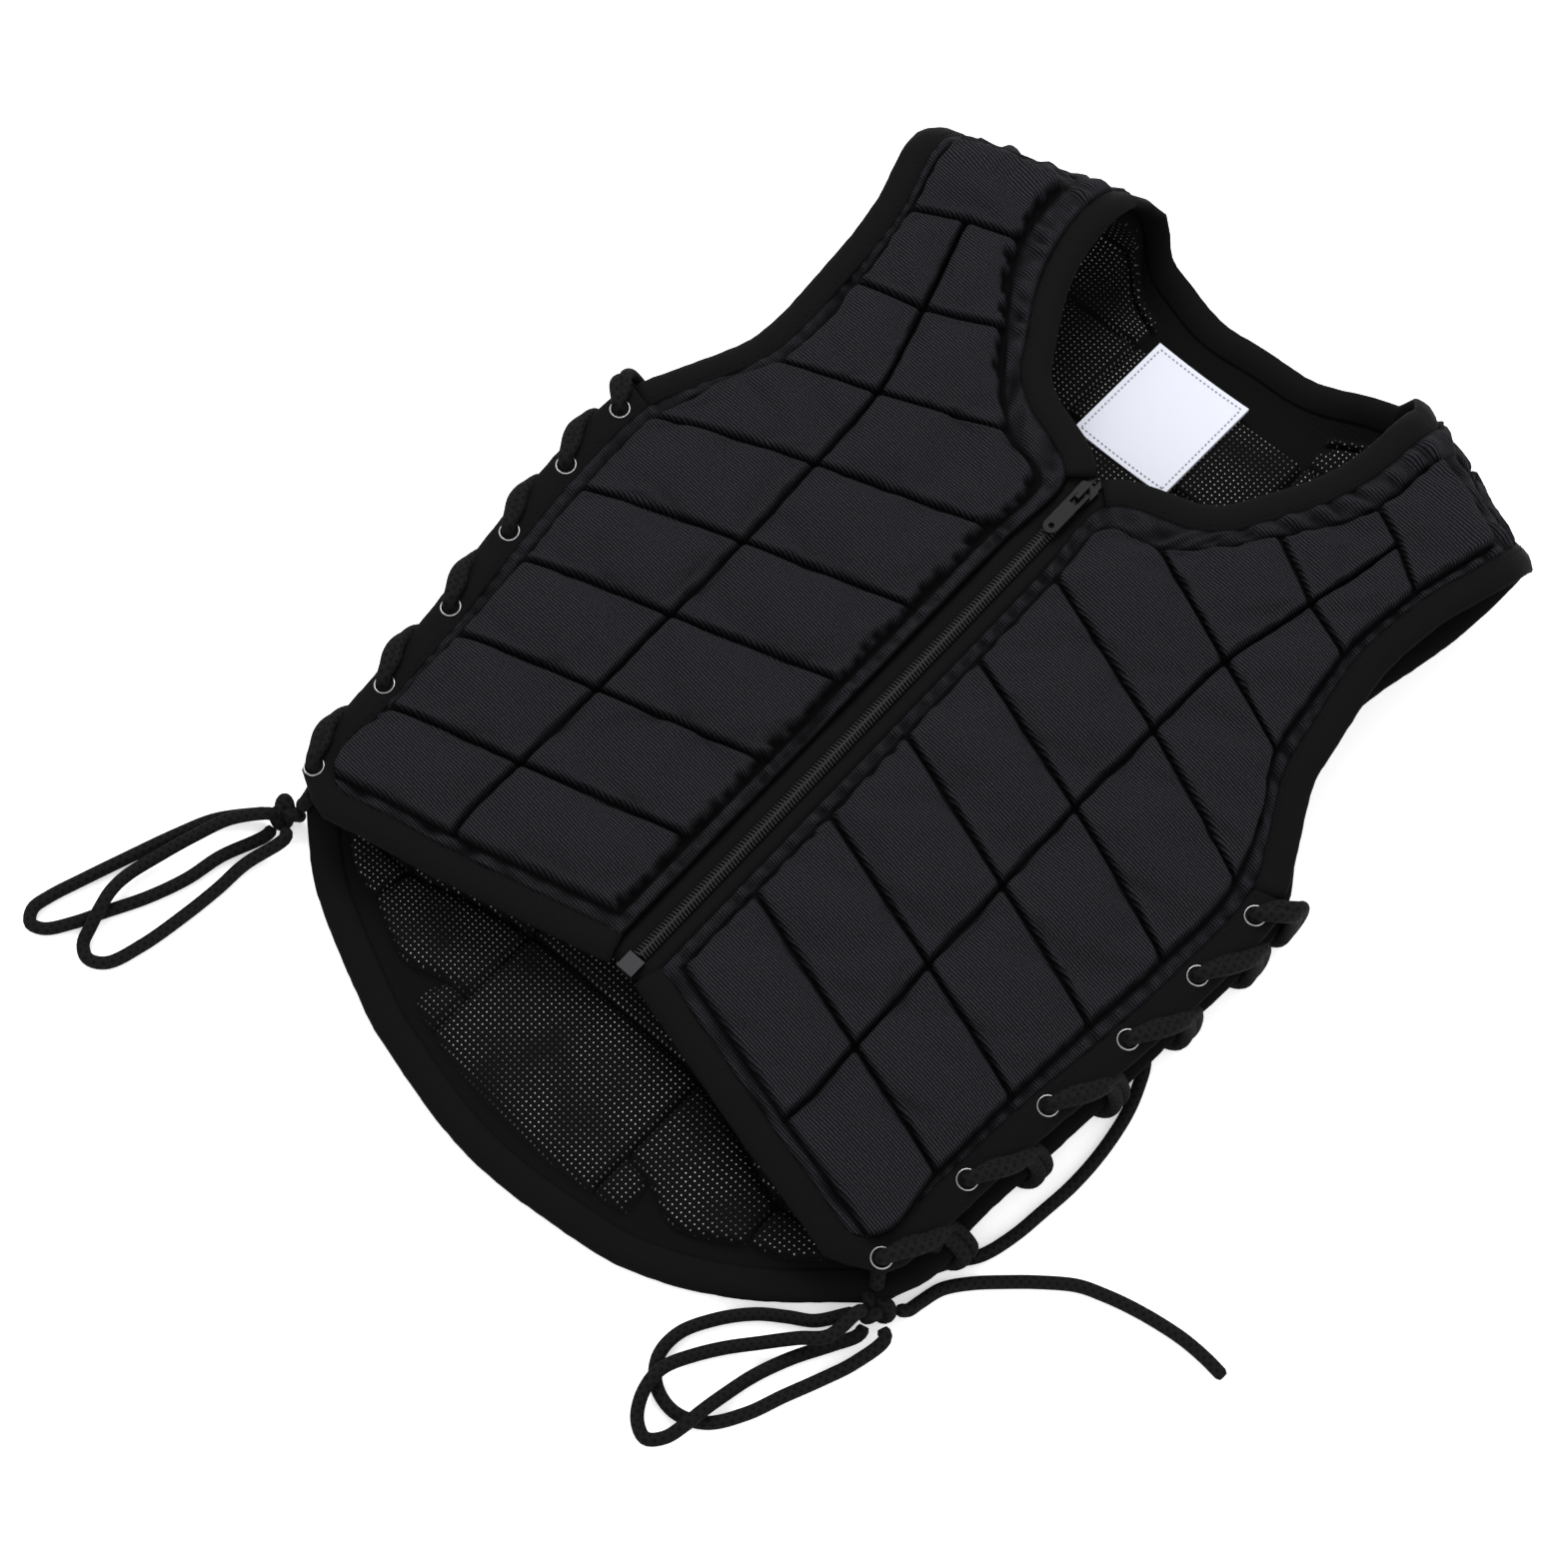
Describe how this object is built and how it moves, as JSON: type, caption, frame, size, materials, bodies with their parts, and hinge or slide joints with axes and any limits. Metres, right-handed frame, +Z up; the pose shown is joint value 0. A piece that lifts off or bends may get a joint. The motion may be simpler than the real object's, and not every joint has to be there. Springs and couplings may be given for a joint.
{
  "type": "equestrian body protector",
  "caption": "Child's padded riding vest lying on its back, closed: quilted foam blocks, zip front, bound edges, laced sides with cord bows, blank neck label.",
  "frame": {"origin": "bottom centre of the protector as it lies on its back, its loose cords not counted", "axes": "+X to the wearer's left, +Y from the hem to the neck, +Z up through the closed front"},
  "size_m": [0.4871, 0.5547, 0.0693],
  "materials": {
    "padded_fabric": "charcoal diagonal weave over foam blocks",
    "binding_tape": "matt black woven tape",
    "zip_coil": "dark moulded coil",
    "dark_metal": "gunmetal",
    "eyelet_metal": "bright rolled rim",
    "lace_cord": "soft round braided cord",
    "label_cloth": "smooth white label, left blank"
  },
  "bodies": {
    "protector": {"front_panel_left": "padded_fabric", "front_panel_right": "padded_fabric", "back_panel": "padded_fabric", "hem_binding_left": "binding_tape", "arm_binding_left": "binding_tape", "hem_binding_right": "binding_tape", "arm_binding_right": "binding_tape", "neck_binding": "binding_tape", "back_binding": "binding_tape", "zip_tape_left": "binding_tape", "zip_top_stop_left": "dark_metal", "zip_tape_right": "binding_tape", "zip_top_stop_right": "dark_metal", "zip_coil": "zip_coil", "zip_stop": "dark_metal", "zip_slider": "dark_metal", "eyelet_front_left_1": "eyelet_metal", "eyelet_front_left_2": "eyelet_metal", "eyelet_front_left_3": "eyelet_metal", "eyelet_front_left_4": "eyelet_metal", "eyelet_front_left_5": "eyelet_metal", "eyelet_front_left_6": "eyelet_metal", "eyelet_back_left_1": "eyelet_metal", "eyelet_back_left_2": "eyelet_metal", "eyelet_back_left_3": "eyelet_metal", "eyelet_back_left_4": "eyelet_metal", "eyelet_back_left_5": "eyelet_metal", "eyelet_back_left_6": "eyelet_metal", "eyelet_front_right_1": "eyelet_metal", "eyelet_front_right_2": "eyelet_metal", "eyelet_front_right_3": "eyelet_metal", "eyelet_front_right_4": "eyelet_metal", "eyelet_front_right_5": "eyelet_metal", "eyelet_front_right_6": "eyelet_metal", "eyelet_back_right_1": "eyelet_metal", "eyelet_back_right_2": "eyelet_metal", "eyelet_back_right_3": "eyelet_metal", "eyelet_back_right_4": "eyelet_metal", "eyelet_back_right_5": "eyelet_metal", "eyelet_back_right_6": "eyelet_metal", "label": "label_cloth", "side_lace_left": "lace_cord", "side_lace_right": "lace_cord", "bow_knot_left": "lace_cord", "bow_knot_right": "lace_cord", "bow_right_a": "lace_cord", "bow_right_b": "lace_cord", "bow_left_a": "lace_cord", "bow_left_b": "lace_cord", "cord_end_left": "lace_cord", "cord_strand_left": "lace_cord"},
    "pull": {"zip_pull": "dark_metal"}
  },
  "joints": [
    {"name": "zip_pull_hinge", "type": "hinge", "parent": "protector", "child": "pull", "pos_m": [0, 0.11605, 0.05777], "axis": [-1, 0, 0], "range_deg": [0, 170]}
  ]
}
